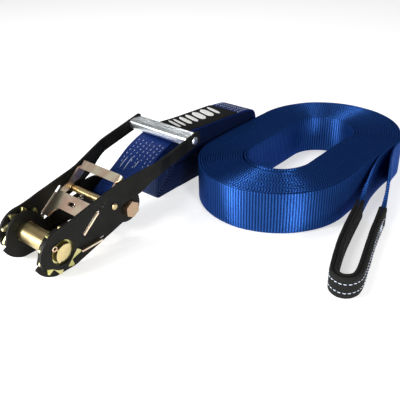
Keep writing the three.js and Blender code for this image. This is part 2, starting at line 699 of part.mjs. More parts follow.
function eyeLegInner() {
  const beside = 1.6 * GAP + WEBBING / 2;
  const start = SLEEVE_ENDS.inner;
  return eyeLeg([
    [start[0] + GAP, start[1]], [296, -207.6], [330, -201.6], [360, COIL.y - COIL.outer - beside],
    besideCoil(beside, 0), besideCoil(beside, 12),
  ]);
}

function eyeLegOuter() {
  const beside = 2.6 * GAP + WEBBING * 1.5 + 0.2;
  const start = SLEEVE_ENDS.outer;
  return eyeLeg([
    [start[0] + GAP, start[1]], [309, -228.4], [345, -213.5], [368, -206],
    besideCoil(beside, 0), besideCoil(beside, 14), besideCoil(beside, 26),
  ]);
}

// ---------------------------------------------------------------- assembly
function addPart(group, name, finish, geometry) {
  const mesh = new THREE.Mesh(geometry, new THREE.MeshStandardMaterial(COLOURS[finish]));
  geometry.translate(-FOOTPRINT_CENTRE.x, -FOOTPRINT_CENTRE.y, 0);
  mesh.name = name;
  group.add(mesh);
}

function buildTieDown() {
  const group = new THREE.Group();
  group.name = 'ratchet_tie_down';
  const sides = [['near', -1], ['far', 1]];
  const halves = [['upper', 0, -1], ['lower', Math.PI, 1]];

  for (const [label, side] of sides) {
    addPart(group, `base_plate_${label}`, 'paint', basePlate(side));
    addPart(group, `handle_plate_${label}`, 'paint', handlePlate(side));
    addPart(group, `ratchet_wheel_${label}`, 'olive', ratchetWheel(side));
  }
  addPart(group, 'anchor_bolt', 'copper', anchorBolt());
  addPart(group, 'anchor_nut', 'copper', anchorNut());
  addPart(group, 'anchor_sleeve', 'spring', anchorSleeve());
  addPart(group, 'base_stay', 'yellowZinc', baseStay());
  addPart(group, 'lock_pawl', 'paleGold', lockPawl());
  addPart(group, 'lock_pawl_spring', 'spring', lockPawlSpring());

  for (const [label, turn, pinSide] of halves) {
    addPart(group, `spool_half_${label}`, 'yellowZinc', spoolHalf(turn, pinSide));
    addPart(group, `cotter_${label}`, 'paleGold', cotterPin(turn, pinSide));
  }

  addPart(group, 'grip_bar', 'silver', gripBar());
  addPart(group, 'grip_rod', 'silver', gripRod());
  addPart(group, 'cross_bar', 'yellowZinc', crossBar());
  addPart(group, 'drive_pawl', 'paleGold', drivePawl());
  addPart(group, 'drive_pawl_spring', 'spring', drivePawlSpring());

  addPart(group, 'anchor_strap_run', 'blueWebbing', anchorStrapRun());
  addPart(group, 'anchor_strap_hank', 'blueWebbing', anchorStrapHank());
  addPart(group, 'strap_label', 'blackWebbing', strapLabel());

  addPart(group, 'long_strap_coil', 'blueWebbing', longStrapCoil());
  addPart(group, 'eye_sleeve', 'blackWebbing', eyeSleeve());
  addPart(group, 'eye_leg_inner', 'blueWebbing', eyeLegInner());
  addPart(group, 'eye_leg_outer', 'blueWebbing', eyeLegOuter());
  return group;
}

export default buildTieDown();
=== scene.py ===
import json
import math

import bmesh
import bpy
import numpy as np
from mathutils import Matrix, Vector


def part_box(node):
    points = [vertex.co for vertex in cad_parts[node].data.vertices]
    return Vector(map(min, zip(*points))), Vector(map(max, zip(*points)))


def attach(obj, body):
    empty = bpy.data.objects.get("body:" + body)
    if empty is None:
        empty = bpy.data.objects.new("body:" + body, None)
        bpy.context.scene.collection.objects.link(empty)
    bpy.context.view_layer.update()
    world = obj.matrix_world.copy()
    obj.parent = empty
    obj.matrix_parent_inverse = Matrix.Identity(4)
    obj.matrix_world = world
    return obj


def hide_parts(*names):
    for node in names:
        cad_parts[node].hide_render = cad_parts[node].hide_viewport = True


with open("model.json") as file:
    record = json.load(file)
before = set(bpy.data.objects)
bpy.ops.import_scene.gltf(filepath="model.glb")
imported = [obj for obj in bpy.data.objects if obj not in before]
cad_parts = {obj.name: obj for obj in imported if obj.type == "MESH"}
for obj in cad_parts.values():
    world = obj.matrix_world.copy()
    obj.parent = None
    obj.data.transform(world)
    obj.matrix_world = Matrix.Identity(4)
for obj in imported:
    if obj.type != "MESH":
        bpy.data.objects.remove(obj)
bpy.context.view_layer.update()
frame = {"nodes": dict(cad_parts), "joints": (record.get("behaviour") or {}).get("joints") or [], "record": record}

# ---------------------------------------------------------------- where things are
MM = 0.001
COIL_LOW, COIL_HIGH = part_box("long_strap_coil")
FOLD_JOINT = next(j for j in frame["joints"] if j["name"] == "handle_fold")
STRAP_JOINT = next(j for j in frame["joints"] if j["name"] == "anchor_strap_swing")

# The ratchet's own frame: millimetres from the ground point under the drum's axis.
ORIGIN = np.array([FOLD_JOINT["pos_m"][0], FOLD_JOINT["pos_m"][1], 0.0])
BOLT = (np.array(STRAP_JOINT["pos_m"]) - ORIGIN) / MM

# Webbing, in millimetres: its thickness, its width, and how far apart its ribs and threads are.
WEBBING = 2.4
WEBBING_WIDTH = 50.0
RIB_PITCH = 3.3
THREAD_PITCH = 1.25

# The wound long strap: an oval of straight sides (half lengths here) and round ends.
COIL_MIDDLE = (np.array((COIL_LOW + COIL_HIGH) / 2) - ORIGIN) / MM
COIL_TURNS = 20
COIL_RADIUS = {"inner": 37.5, "outer": 93.0}
COIL_STRAIGHT = {"inner": 51.0, "outer": 58.0}
COIL_HEIGHT = (COIL_HIGH.z - COIL_LOW.z) / MM
STANDING_HEIGHT = COIL_HEIGHT - 0.8

# The short strap's bundle: its near edge in y at the floor, and how that edge leans as it rises.
HANK_TURNS = 12
HANK = {"y": -2.0, "width": 48.5, "lean": -0.11}


def place(points):
    """Points of the ratchet's own frame, in metres in the shared frame."""
    return np.asarray(points, float) * MM + ORIGIN


# ---------------------------------------------------------------- node helpers
class Nodes:
    """Short forms for building one material's node tree."""

    def __init__(self, name):
        self.material = bpy.data.materials.new(name)
        self.material.use_nodes = True
        self.tree = self.material.node_tree
        self.shader = self.tree.nodes["Principled BSDF"]

    def add(self, kind, **settings):
        node = self.tree.nodes.new(kind)
        for key, value in settings.items():
            setattr(node, key, value)
        return node

    def link(self, source, target):
        self.tree.links.new(source, target)

    def feed(self, socket, value):
        if isinstance(value, bpy.types.NodeSocket):
            self.link(value, socket)
        else:
            socket.default_value = value

    def maths(self, operation, first, second=0.0):
        node = self.add("ShaderNodeMath", operation=operation)
        self.feed(node.inputs[0], first)
        self.feed(node.inputs[1], second)
        return node.outputs[0]

    def noise(self, scale, detail=3.0, stretch=None, distortion=0.0):
        """Noise in the piece's own coordinates, in metres, stretched if asked."""
        node = self.add("ShaderNodeTexNoise")
        node.inputs["Scale"].default_value = scale
        node.inputs["Detail"].default_value = detail
        node.inputs["Distortion"].default_value = distortion
        coords = self.add("ShaderNodeTexCoord").outputs["Object"]
        if stretch:
            mapping = self.add("ShaderNodeMapping")
            mapping.inputs["Scale"].default_value = stretch
            self.link(coords, mapping.inputs["Vector"])
            coords = mapping.outputs["Vector"]
        self.link(coords, node.inputs["Vector"])
        return node.outputs["Fac"]

    def cloth(self):
        """How far along and across its cloth each point lies, in metres."""
        node = self.add("ShaderNodeSeparateXYZ")
        self.link(self.add("ShaderNodeTexCoord").outputs["UV"], node.inputs[0])
        return node.outputs["X"], node.outputs["Y"]

    def spread(self, value, low, high, to_low=0.0, to_high=1.0):
        node = self.add("ShaderNodeMapRange")
        self.feed(node.inputs["Value"], value)
        for socket, number in zip(node.inputs[1:5], (low, high, to_low, to_high)):
            socket.default_value = number
        return node.outputs[0]

    def mix(self, amount, first, second):
        node = self.add("ShaderNodeMix", data_type="RGBA")
        self.feed(node.inputs["Factor"], amount)
        for socket, colour in zip((node.inputs[6], node.inputs[7]), (first, second)):
            self.feed(socket, colour if isinstance(colour, bpy.types.NodeSocket) else (*colour, 1.0))
        return node.outputs[2]

    def bump(self, height, distance, strength=1.0, after=None):
        node = self.add("ShaderNodeBump")
        node.inputs["Distance"].default_value = distance
        node.inputs["Strength"].default_value = strength
        self.feed(node.inputs["Height"], height)
        if after is not None:
            self.link(after, node.inputs["Normal"])
        return node.outputs["Normal"]

    def set(self, **values):
        for key, value in values.items():
            self.feed(self.shader.inputs[key.replace("_", " ")], value)
        return self


def painted_black():
    """Satin black paint: faint orange peel, dusty patches and fine scuffs."""
    n = Nodes("black_paint")
    patches = n.noise(60, 4)
    scuffs = n.noise(900, 2, stretch=(1, 1, 0.15))
    scuffed = n.spread(scuffs, 0.66, 0.72)
    colour = n.mix(n.spread(patches, 0.35, 0.7), (0.004, 0.004, 0.0035), (0.008, 0.0078, 0.0065))
    colour = n.mix(n.maths("MULTIPLY", scuffed, 0.2), colour, (0.06, 0.058, 0.05))
    rough = n.spread(patches, 0.3, 0.7, 0.34, 0.5)
    normal = n.bump(n.noise(1400, 2), 0.00006, 0.5)
    return n.set(Base_Color=colour, Roughness=rough, Normal=normal, Specular_IOR_Level=0.11).material


def plated(name, main, second, rough=0.3, grain=(1, 0.05, 1)):
    """Zinc plate over pressed steel: two tints drifting into each other, with drawn grain."""
    n = Nodes(name)
    drift = n.spread(n.noise(55, 3, distortion=0.8), 0.35, 0.66)
    grime = n.spread(n.noise(240, 5), 0.6, 0.8)
    lines = n.noise(1100, 2, stretch=grain)
    colour = n.mix(drift, main, second)
    colour = n.mix(n.maths("MULTIPLY", grime, 0.16), colour, tuple(c * 0.4 for c in main))
    roughness = n.spread(lines, 0.3, 0.7, rough - 0.02, rough + 0.05)
    normal = n.bump(lines, 0.00001, 0.08, after=n.bump(n.noise(60, 2), 0.0003, 0.08))
    return n.set(Base_Color=colour, Metallic=1.0, Roughness=roughness, Normal=normal).material


def webbing(name, crest_with_painted_sheen, valley_with_painted_shade, speckle, gloss):
    """Polyester webbing: ribs across it, with painted sheen on their crests and painted shade in their hollows,
    threads along it and a highlight drawn out one way.

    gloss is how metallic it is, chosen for the photograph's look.
    """
    n = Nodes(name)
    u, v = n.cloth()
    along = n.maths("MULTIPLY", u, 2 * math.pi / (RIB_PITCH * MM))
    wander = n.maths("MULTIPLY", n.noise(45, 1), 1.4)
    rib = n.maths("SINE", n.maths("ADD", along, wander))
    across = n.maths("SINE", n.maths("MULTIPLY", v, 2 * math.pi / (THREAD_PITCH * MM)))
    rib_height = n.spread(rib, -1.0, 1.0)
    height = n.maths("ADD", n.maths("MULTIPLY", rib_height, 0.2), n.spread(across, -1.0, 1.0))
    fine = n.noise(1500, 3)
    # Painted light over the webbing's blue: the rib crests take the lighter colour as a painted sheen, and the
    # hollows take the darker one as painted shade.
    colour = n.mix(n.maths("POWER", rib_height, 1.8), valley_with_painted_shade, crest_with_painted_sheen)
    colour = n.mix(n.maths("MULTIPLY", n.spread(fine, 0.55, 0.75), 0.45), colour, speckle)
    roughness = n.spread(fine, 0.3, 0.7, 0.34, 0.48)
    normal = n.bump(fine, 0.0002, 0.5, after=n.bump(height, 0.0005, 0.9))
    n.set(Base_Color=colour, Roughness=roughness, Normal=normal, Specular_IOR_Level=0.4, Metallic=gloss)
    tangent = n.add("ShaderNodeTangent", direction_type="UV_MAP", uv_map="cloth")
    n.set(Anisotropic=0.9, Anisotropic_Rotation=0.25, Tangent=tangent.outputs[0])
    n.set(Specular_Tint=(0.15, 0.42, 1.0, 1.0))
    n.set(Sheen_Weight=0.03, Sheen_Roughness=0.35, Sheen_Tint=(0.1, 0.3, 1.0, 1.0))
    return n.material


def black_fabric(name, weave=0.0011, base=(0.008, 0.008, 0.0075)):
    """Plain-woven black cloth, slightly dusty."""
    n = Nodes(name)
    u, v = n.cloth()
    turn = 2 * math.pi / weave
    along = n.maths("SINE", n.maths("MULTIPLY", u, turn))
    across = n.maths("SINE", n.maths("MULTIPLY", v, turn))
    cloth = n.maths("MULTIPLY", along, across)
    lint = n.spread(n.noise(700, 4), 0.6, 0.8)
    colour = n.mix(n.maths("MULTIPLY", lint, 0.35), base, (0.035, 0.035, 0.032))
    normal = n.bump(n.spread(cloth, -1, 1), 0.0004, 0.7, after=n.bump(n.noise(160, 2), 0.0012, 0.5))
    n.set(Base_Color=colour, Roughness=n.spread(lint, 0, 1, 0.75, 0.95), Normal=normal)
    return n.set(Specular_IOR_Level=0.12).material


def thread_white():
    """Twisted white polyester thread."""
    n = Nodes("white_thread")
    twist = n.noise(2500, 2, stretch=(1, 1, 0.4))
    colour = n.mix(n.spread(twist, 0.3, 0.7), (0.40, 0.46, 0.62), (0.80, 0.84, 0.92))
    return n.set(Base_Color=colour, Roughness=0.6, Normal=n.bump(twist, 0.0002, 0.6)).material


def print_white():
    """White ink on the label, thin enough for the weave to show."""
    n = Nodes("label_print")
    wear = n.spread(n.noise(900, 4), 0.52, 0.7)
    colour = n.mix(n.maths("MULTIPLY", wear, 0.6), (0.78, 0.78, 0.76), (0.3, 0.3, 0.3))
    return n.set(Base_Color=colour, Roughness=0.65, Normal=n.bump(n.noise(1800, 2), 0.0002, 0.5)).material


MATERIALS = {
    "black_paint": painted_black(),
    "yellow_zinc": plated("yellow_zinc", (0.54, 0.40, 0.20), (0.62, 0.52, 0.26)),
    "pale_gold": plated("pale_gold", (0.96, 0.86, 0.64), (0.84, 0.58, 0.44), 0.3, (0.05, 1, 1)),
    "copper_zinc": plated("copper_zinc", (0.56, 0.32, 0.22), (0.50, 0.38, 0.24), 0.3),
    "olive_zinc": plated("olive_zinc", (0.52, 0.50, 0.17), (0.72, 0.66, 0.34), 0.28),
    "silver": plated("silver", (0.83, 0.86, 0.87), (0.62, 0.66, 0.69), 0.27, (1, 0.03, 1)),
    "spring_steel": plated("spring_steel", (0.55, 0.54, 0.50), (0.42, 0.40, 0.36), 0.25),
    # Each webbing's colours: rib crest with painted sheen, rib hollow with painted shade, speckle, then its gloss.
    "blue_webbing": webbing(
        "blue_webbing", (0.034, 0.135, 0.50), (0.005, 0.018, 0.10), (0.07, 0.28, 0.85), 0.78),
    "anchor_webbing": webbing(
        "anchor_webbing", (0.010, 0.034, 0.20), (0.002, 0.006, 0.045), (0.02, 0.05, 0.26), 0.2),
    # Painted shade: the bundle is the same strap as the run, in a darker, greyer copy of its webbing that stands
    # for the shadow on the bundle's near side.
    "bundle_webbing_painted_shade": webbing(
        "bundle_webbing_painted_shade", (0.006, 0.014, 0.065), (0.001, 0.003, 0.014), (0.02, 0.04, 0.13), 0.1),
    "black_webbing": black_fabric("black_webbing"),
    "label_cloth": black_fabric("label_cloth", 0.0008, (0.006, 0.006, 0.0065)),
    "white_thread": thread_white(),
    "label_print": print_white(),
}


# ---------------------------------------------------------------- mesh helpers
def new_piece(name, mesh, material, body, replaced=()):
    piece = bpy.data.objects.new(name, mesh)
    bpy.context.scene.collection.objects.link(piece)
    piece.data.materials.append(MATERIALS[material])
    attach(piece, body)
    if replaced:
        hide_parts(*replaced)
    return piece


def smooth_noise(s, seed, scale):
    """A slow wave through s made of a few sines, between about -1 and 1."""
    total = np.zeros_like(np.asarray(s, float))
    for i, weight in enumerate((0.5, 0.3, 0.2)):
        total = total + weight * np.sin(np.asarray(s) / scale * (1 + 1.7 * i) + seed * (2.3 + i))
    return total


def arc_length(line):
    """The distance along the line to each of its points."""
    return np.concatenate([[0], np.cumsum(np.linalg.norm(np.diff(line, axis=0), axis=1))])


def resample(line, step):
    """The same line cut into about equal steps."""
    length = arc_length(line)
    wanted = np.linspace(0, length[-1], max(2, int(length[-1] / step)))
    return np.stack([np.interp(wanted, length, line[:, k]) for k in range(line.shape[1])], 1)


def spline(points, step):
    """A smooth line through the points, sampled at about equal steps."""
    points = np.asarray(points, float)
    padded = np.vstack([points[0], points, points[-1]])
    fine = []
    for i in range(1, len(padded) - 2):
        p0, p1, p2, p3 = padded[i - 1:i + 3]
        for t in np.linspace(0, 1, 24, endpoint=False):
            fine.append(0.5 * (2 * p1 + (p2 - p0) * t + (2 * p0 - 5 * p1 + 4 * p2 - p3) * t ** 2
                               + (3 * p1 - p0 - 3 * p2 + p3) * t ** 3))
    return resample(np.array(fine + [points[-1]]), step)


def normals(line):
    """Unit normals of a plane line, to its left."""
    tangent = np.gradient(line, axis=0)
    tangent /= np.linalg.norm(tangent, axis=1)[:, None]
    return np.stack([-tangent[:, 1], tangent[:, 0]], 1)


# A webbing's cross-section: (share of half thickness, share of width) round the ring.
WEBBING_RING = [
    (1, 0.02), (1, 0.26), (1, 0.5), (1, 0.74), (1, 0.98), (0.5, 1),
    (-0.5, 1), (-1, 0.98), (-1, 0.74), (-1, 0.5), (-1, 0.26), (-1, 0.02), (-0.5, 0), (0.5, 0),
]
# The eye sleeve's: padded walls with soft hollows, and a groove along the top between its two layers.
SLEEVE_RING = [
    (0.72, 0), (0.97, 0.05), (1, 0.2), (0.95, 0.38), (1, 0.5), (0.95, 0.66), (1, 0.84),
    (0.93, 0.96), (0.7, 1), (0.3, 0.985), (0, 0.94), (-0.3, 0.985), (-0.7, 1), (-0.93, 0.96),
    (-1, 0.84), (-0.95, 0.66), (-1, 0.5), (-0.95, 0.38), (-1, 0.2), (-0.97, 0.05), (-0.72, 0),
]


class Band:
    """Collects closed bands of cloth into one mesh, with UVs in metres along and across them."""

    def __init__(self):
        self.points, self.faces, self.uvs = [], [], []

    def add(self, centre, thickness_way, width_way, half_thickness, width, ring=WEBBING_RING):
        """One band along the centre line. Its length in metres comes back."""
        centre = np.asarray(centre, float)
        count, size, base = len(centre), len(ring), len(self.points)
        half = np.broadcast_to(half_thickness, count)
        wide = np.broadcast_to(width, count)
        along = arc_length(centre) * MM
        across = np.array([share for _, share in ring])
        for i in range(count):
            for offset, share in ring:
                self.points.append(centre[i] + thickness_way[i] * offset * half[i]
                                   + width_way[i] * (share - 0.5) * wide[i])
        for i in range(count - 1):
            for k in range(size):
                nxt = (k + 1) % size
                a, b = base + i * size, base + (i + 1) * size
                self.faces.append((a + k, b + k, b + nxt, a + nxt))
                v0, v1 = across[k] * wide[i] * MM, across[nxt] * wide[i] * MM
                self.uvs += [(along[i], v0), (along[i + 1], v0), (along[i + 1], v1), (along[i], v1)]
        for i, order in ((0, range(size)), (count - 1, range(size - 1, -1, -1))):
            self.faces.append(tuple(base + i * size + k for k in order))
            self.uvs += [(along[i], across[k] * wide[i] * MM) for k in order]
        return along[-1]

    def mesh(self, name):
        mesh = bpy.data.meshes.new(name)
        mesh.from_pydata(place(self.points).tolist(), [], self.faces)
        layer = mesh.uv_layers.new(name="cloth")
        layer.data.foreach_set("uv", np.array(self.uvs, np.float32).ravel())
        mesh.polygons.foreach_set("use_smooth", [True] * len(mesh.polygons))
        mesh.validate()
        fix_normals(mesh)
        mesh.set_sharp_from_angle(angle=math.radians(55))
        return mesh


def fix_normals(mesh):
    work = bmesh.new()
    work.from_mesh(mesh)
    bmesh.ops.recalc_face_normals(work, faces=work.faces)
    work.to_mesh(mesh)
    work.free()


def standing(line, thickness, height, floor):
    """Arguments of Band.add for webbing standing on its edge along a line seen from above."""
    normal = normals(line)
    count = len(line)
    middle = np.broadcast_to(floor, count) + np.broadcast_to(height, count) / 2
    centre = np.column_stack([line, middle])
    thick = np.column_stack([normal, np.zeros(count)])
    up = np.tile([0.0, 0.0, 1.0], (count, 1))
    return centre, thick, up, np.asarray(thickness) / 2, height


def lying(line, thickness, width, middle_y):
    """Arguments of Band.add for webbing lying across y along a line seen from the side."""
    normal = normals(line)
    count = len(line)
    centre = np.column_stack([line[:, 0], np.broadcast_to(middle_y, count), line[:, 1]])
    thick = np.column_stack([normal[:, 0], np.zeros(count), normal[:, 1]])
    over = np.tile([0.0, 1.0, 0.0], (count, 1))
    return centre, thick, over, thickness / 2, width


# A stitch's rings along it: share of its length, share of its radius, and lift in radii.
STITCH_RINGS = [(0, 0.25, -0.2), (0.2, 0.9, 0.5), (0.5, 1, 0.7), (0.8, 0.9, 0.5), (1, 0.25, -0.2)]
STITCH_SIDES = 6


def add_stitches(points, faces, path, normal, length, gap, radius, start=0.0):
    """Thread stitches along a path on a surface: small tapered dashes pressed into the cloth."""
    total = arc_length(path)
    at = start
    while at + length < total[-1]:
        ends = [at + length * share for share, _, _ in STITCH_RINGS]
        where = np.stack([np.interp(ends, total, path[:, k]) for k in range(3)], 1)
        out = np.stack([np.interp(ends, total, normal[:, k]) for k in range(3)], 1)
        out /= np.linalg.norm(out, axis=1)[:, None]
        tangent = where[-1] - where[0]
        tangent /= np.linalg.norm(tangent)
        base = len(points)
        for (_, size, lift), spot, up in zip(STITCH_RINGS, where, out):
            side = np.cross(tangent, up)
            for k in range(STITCH_SIDES):
                angle = 2 * math.pi * k / STITCH_SIDES
                rise = up * (lift + size * math.sin(angle))
                points.append(spot + radius * (rise + side * size * math.cos(angle)))
        last = base + (len(STITCH_RINGS) - 1) * STITCH_SIDES
        for a in range(base, last, STITCH_SIDES):
            b = a + STITCH_SIDES
            for k in range(STITCH_SIDES):
                nxt = (k + 1) % STITCH_SIDES
                faces.append((a + k, b + k, b + nxt, a + nxt))
        faces.append(tuple(base + k for k in range(STITCH_SIDES)))
        faces.append(tuple(last + k for k in range(STITCH_SIDES - 1, -1, -1)))
        at += length + gap


def stitch_piece(name, seams, body):
    points, faces = [], []
    for seam in seams:
        add_stitches(points, faces, **seam)
    mesh = bpy.data.meshes.new(name)
    mesh.from_pydata(place(points).tolist(), [], faces)
    mesh.polygons.foreach_set("use_smooth", [True] * len(mesh.polygons))
    fix_normals(mesh)
    return new_piece(name, mesh, "white_thread", body)


# ---------------------------------------------------------------- metal pieces
SOFT_NODES = {
    "anchor_strap_run", "anchor_strap_hank", "strap_label",
    "long_strap_coil", "eye_sleeve", "eye_leg_inner", "eye_leg_outer",
}
BEVEL = 0.35
FINE_BEVELS = {"lock_pawl_spring": 0, "drive_pawl_spring": 0, "grip_bar": 0.2}
SMOOTH_BELOW = math.radians(34)


def metal_piece(node, bevel):
    """The CAD node's own shape with eased edges and smooth rounds."""
    source = frame["nodes"][node]
    slot_name = next(s["material_slot"] for s in frame["record"]["subparts"] if s["node"] == node)
    body = next(b for b, names in frame["record"]["behaviour"]["bodies"].items() if node in names)
    work = bmesh.new()
    work.from_mesh(source.data)
    bmesh.ops.remove_doubles(work, verts=work.verts, dist=2e-6)
    bmesh.ops.dissolve_limit(work, angle_limit=math.radians(0.5), verts=work.verts, edges=work.edges)
    mesh = bpy.data.meshes.new(node + "_body")
    work.to_mesh(mesh)
    work.free()
    mesh.polygons.foreach_set("use_smooth", [True] * len(mesh.polygons))
    mesh.set_sharp_from_angle(angle=SMOOTH_BELOW)
    piece = new_piece(node + "_body", mesh, slot_name, body, [node])
    if bevel:
        edge = piece.modifiers.new("eased", "BEVEL")
        edge.width = bevel * MM
        edge.segments = 2
        edge.limit_method = "ANGLE"
        edge.angle_limit = SMOOTH_BELOW
        edge.use_clamp_overlap = True
        edge.harden_normals = True


def build_metal():
    for node in frame["nodes"]:
        if node not in SOFT_NODES:
            metal_piece(node, FINE_BEVELS.get(node, BEVEL))


# ---------------------------------------------------------------- long strap
# The innermost turns stand a little clear of the rest at the round ends, and the last turn ends just
# outside the ring, where the leg to the eye leaves it.
LOOSE_TURNS = 1.7
LOOSE_BY = 2.4
LAST_TURN_OUT = 0.3


def coil_line():
    """The wound webbing's middle line from inside to outside, in the ratchet's own frame."""
    inner = COIL_RADIUS["inner"] + WEBBING / 2
    outer = COIL_RADIUS["outer"] + LAST_TURN_OUT + WEBBING / 2
    points = []
    per_turn = 150
    straight_share = 0.28
    arc_share = 0.5 - straight_share
    for i in range(COIL_TURNS * per_turn + 1):
        turn = i / per_turn
        share = turn / COIL_TURNS
        radius = inner + (outer - inner) * share
        straight = COIL_STRAIGHT["inner"] + (COIL_STRAIGHT["outer"] - COIL_STRAIGHT["inner"]) * share
        straight -= LOOSE_BY * (1 - np.clip((turn - LOOSE_TURNS) / 0.5, 0, 1))
        q = turn % 1.0
        if q < straight_share:
            x, y = straight - 2 * straight * q / straight_share, -radius
        elif q < 0.5:
            angle = math.pi * (q - straight_share) / arc_share
            x, y = -straight - radius * math.sin(angle), -radius * math.cos(angle)
        elif q < 0.5 + straight_share:
            x, y = -straight + 2 * straight * (q - 0.5) / straight_share, radius
        else:
            angle = math.pi * (q - 0.5 - straight_share) / arc_share
            x, y = straight + radius * math.sin(angle), radius * math.cos(angle)
        points.append((COIL_MIDDLE[0] + x, COIL_MIDDLE[1] + y))
    return np.array(points)


LEG_INNER = [(362, -199.0), (330, -201.6), (296, -207.6), (275.3, -212.4), (262, -215.4)]
LEG_OUTER = [(262, -242.6), (275.3, -239.2), (309, -228.4), (345, -213.5), (368, -206)]
EYE_LINE = [
    (275, -212.4), (223, -225), (188, -235), (158, -246), (143, -252.5), (138.6, -262.5),
    (145, -271), (158, -271.6), (192, -262), (229, -251), (275, -239.2),
]
LEG_HEIGHT = 23.0
LEG_THICKNESS = 5.0
LEG_OPENS = (268, 350)
SLEEVE_HEIGHT = 24.1
SLEEVE_THICKNESS = 8.6


def beside_coil(offset, turn):
    """A point outside the coil's round end at +x, turn degrees on from its straight side at -y."""
    radius = COIL_RADIUS["outer"] + offset
    angle = math.radians(-90 + turn)
    return (COIL_MIDDLE[0] + COIL_STRAIGHT["outer"] + radius * math.cos(angle),
            COIL_MIDDLE[1] + radius * math.sin(angle))


def leg_shape(line):
    """Height and thickness of the webbing along a leg: folded double at the sleeve, open at the coil."""
    opened = smoothstep(line[:, 0], *LEG_OPENS)
    height = LEG_HEIGHT + (STANDING_HEIGHT - LEG_HEIGHT) * opened
    thickness = LEG_THICKNESS - (LEG_THICKNESS - WEBBING) * np.clip(opened * 1.4, 0, 1)
    return height, thickness


def build_long_strap():
    """The coil with the leg that leads to the eye, and the eye's other leg lying back against it."""
    band = Band()
    coil = coil_line()
    leg = spline([coil[-1], *LEG_INNER], 3.0)
    line = np.vstack([coil, leg[1:]])
    steps = arc_length(line)
    height, thick = leg_shape(line)
    on_coil = np.arange(len(line)) < len(coil)
    height = np.where(on_coil, STANDING_HEIGHT, height)
    single = WEBBING - 0.15
    past_coil = np.maximum(0, steps - steps[len(coil)])
    thick = np.where(on_coil, single, np.minimum(thick, single + past_coil * 0.03))
    floor = 0.35 + 0.3 * smooth_noise(steps, 1.0, 97.0) + 0.25 * smooth_noise(steps, 4.0, 23.0) * on_coil
    length = band.add(*standing(line, thick, height, np.maximum(floor, 0.05)))

    tail = spline([*LEG_OUTER, beside_coil(4.6, 0), beside_coil(4.4, 14), beside_coil(4.2, 26)], 3.0)
    height, thick = leg_shape(tail)
    floor = 0.2 + 0.2 * smooth_noise(arc_length(tail), 2.0, 40.0)
    tail_length = band.add(*standing(tail, thick, height, floor))
    piece = new_piece(
        "long_strap_webbing", band.mesh("long_strap_webbing"), "blue_webbing", "long_strap",
        ["long_strap_coil", "eye_leg_inner", "eye_leg_outer"])
    return piece, length + tail_length


def build_eye_sleeve():
    """The padded black sleeve round the eye, a little wider at its two open ends."""
    band = Band()
    line = spline(EYE_LINE, 2.5)
    steps = arc_length(line)
    share = steps / steps[-1]
    flare = np.maximum(0, np.abs(share - 0.5) - 0.45) * 12
    height = SLEEVE_HEIGHT + 0.25 * smooth_noise(steps, 3.0, 19.0) + flare
    thick = SLEEVE_THICKNESS + 0.35 * smooth_noise(steps, 5.0, 14.0) + flare
    centre, thick_way, up, half, wide = standing(line, thick, height, 0.1)
    band.add(centre, thick_way, up, half, wide, ring=SLEEVE_RING)
    piece = new_piece(
        "eye_sleeve_cloth", band.mesh("eye_sleeve_cloth"), "black_webbing", "long_strap",
        ["eye_sleeve"])
    return piece, line, thick, height


def build_eye_stitches(line, thick, height):
    """Two rows of white thread round the eye's outer face and a tack near the sleeve's end."""
    normal = normals(line)
    outward = -np.column_stack([normal, np.zeros(len(line))])
    middle = np.column_stack([line, np.zeros(len(line))])
    middle += outward * (thick[:, None] / 2 * 0.99)
    inside = slice(int(len(line) * 0.38), len(line) - 3)
    seams = []
    for share in (0.3, 0.72):
        path = middle.copy()
        path[:, 2] = height * share + 0.25 * np.sin(np.arange(len(line)) * 0.9)
        seams.append({
            "path": path[inside], "normal": outward[inside],
            "length": 3.4, "gap": 1.4, "radius": 0.36})
    tack = slice(len(line) - 12, len(line) - 8)
    zigzag = np.array([-0.8, 0.8, -0.8, 0.8])
    for k in range(5):
        path = middle[tack].copy()
        path[:, 2] = height[tack] * (0.42 + 0.06 * k) + zigzag
        seams.append({
            "path": path, "normal": outward[tack],
            "length": 2.2, "gap": 0.3, "radius": 0.4})
    return stitch_piece("eye_stitches", seams, "long_strap")


# ---------------------------------------------------------------- short strap
# The strap's upper face from the side, as (x, height): up from the bolt, over the bundle, down its end.
RUN_TOP = [(108, 48), (133, 60), (150, 68), (171, 75.2), (183, 78.2), (196, 77.9), (214, 75.6)]
OVER_TOP = [(240, 72.5), (284, 69.5), (318, 67.2), (344, 64.2)]
END_DOWN = [(356, 58), (359.4, 44), (359.5, 26)]
SIDE_SHIFTS = [(5.5, 108, 172), (10, 180, 226)]
ANCHOR_SLEEVE_RADIUS = 5.5
WRAP_FROM, WRAP_TO = 119, 318
LAYER_GAP = 0.3
HANK_TOP = [
    (162, 65), (180, 69.0), (200, 69.6), (216, 69.5), (284, 66.0), (318, 63.8), (350, 60.0), (361, 57.5),
]
LABEL_FROM, LABEL_TO = 215, 317
LABEL_THICKNESS = 0.7
# The label's marks, as (x of the near end, width along the strap), and the way they cross it.
LABEL_MARKS = [(219, 4.5), (228, 4.5), (238, 7.5), (250, 7.5), (262, 12.0), (278, 12.0), (295, 6.0)]
MARK_LOW, MARK_HIGH, MARK_LEAN = -9.0, 19.0, 8.0


def smoothstep(x, low, high):
    t = np.clip((np.asarray(x, float) - low) / (high - low), 0, 1)
    return t * t * (3 - 2 * t)


def run_shift(x):
    """How far the strap's middle has moved sideways on its way from the bolt to the bundle."""
    return sum(shift * smoothstep(x, low, high) for shift, low, high in SIDE_SHIFTS)


def bolt_wrap(radius):
    """The turn round the bolt, as (x, height)."""
    angles = np.radians(np.linspace(WRAP_FROM, WRAP_TO, 12))
    return [(BOLT[0] + radius * math.cos(a), BOLT[2] + radius * math.sin(a)) for a in angles]


def offset_line(line, distance):
    normal = normals(line)
    return line + normal * distance


